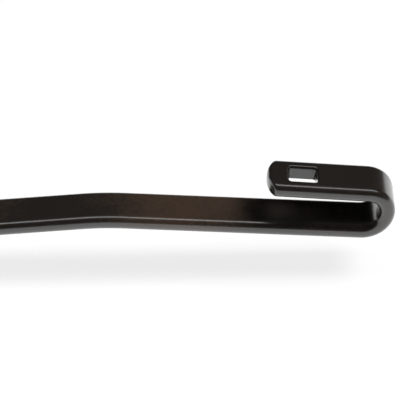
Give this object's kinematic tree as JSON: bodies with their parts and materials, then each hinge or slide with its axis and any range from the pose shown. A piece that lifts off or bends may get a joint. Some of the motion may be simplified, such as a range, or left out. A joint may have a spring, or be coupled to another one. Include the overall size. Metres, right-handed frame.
{
  "type": "wiper arm",
  "caption": "Car wiper arm with a J-hook for the blade, a sprung hinge, a die-cast head with a pivot bore, and a flip-up nut cap.",
  "frame": {"origin": "the mouth of the pivot bore's cylindrical wall, on the bore's axis", "axes": "+X from the pivot to the hook, +Z towards the glass, which is up because the arm lies on its back, +Y across the arm"},
  "size_m": [0.4196, 0.026, 0.029],
  "materials": {
    "painted_casting": "satin black paint over a casting",
    "cap_plastic": "matt black",
    "plated_steel": "zinc plated",
    "spring_wire": "dark oiled spring steel",
    "painted_sheet": "satin black paint",
    "painted_bar": "satin black paint"
  },
  "bodies": {
    "arm": {"retainer": "painted_sheet", "arm_bar": "painted_bar", "hinge_pin": "plated_steel"},
    "head": {"arm_head": "painted_casting", "near_bush": "plated_steel", "far_bush": "plated_steel", "link_pin": "plated_steel"},
    "link": {"spring_link": "plated_steel"},
    "spring": {"tension_spring": "spring_wire"},
    "cap": {"nut_cap": "cap_plastic"}
  },
  "joints": [
    {"name": "arm_fold", "type": "hinge", "parent": "arm", "child": "head", "pos_m": [0.045, 0, -0.018], "axis": [0, -1, 0], "range_deg": [0, 75], "stiffness_Nm_per_rad": 0.5, "springref_deg": -114.59, "deforming": ["tension_spring"]},
    {"name": "link_swing", "type": "hinge", "parent": "head", "child": "link", "pos_m": [0.042, 0, -0.011], "axis": [0, 1, 0], "range_deg": [0, 71]},
    {"name": "spring_swing", "type": "hinge", "parent": "arm", "child": "spring", "pos_m": [0.13649, 0, -0.02157], "axis": [0, -1, 0], "range_deg": [0, 5]},
    {"name": "cap_flip", "type": "hinge", "parent": "head", "child": "cap", "pos_m": [0.0165, 0, -0.0233], "axis": [0, -1, 0], "range_deg": [0, 95]}
  ],
  "couplings": [
    {"joint": "link_swing", "follows": "arm_fold", "ratio": 0.9341},
    {"joint": "spring_swing", "follows": "arm_fold", "ratio": 0.06595}
  ]
}
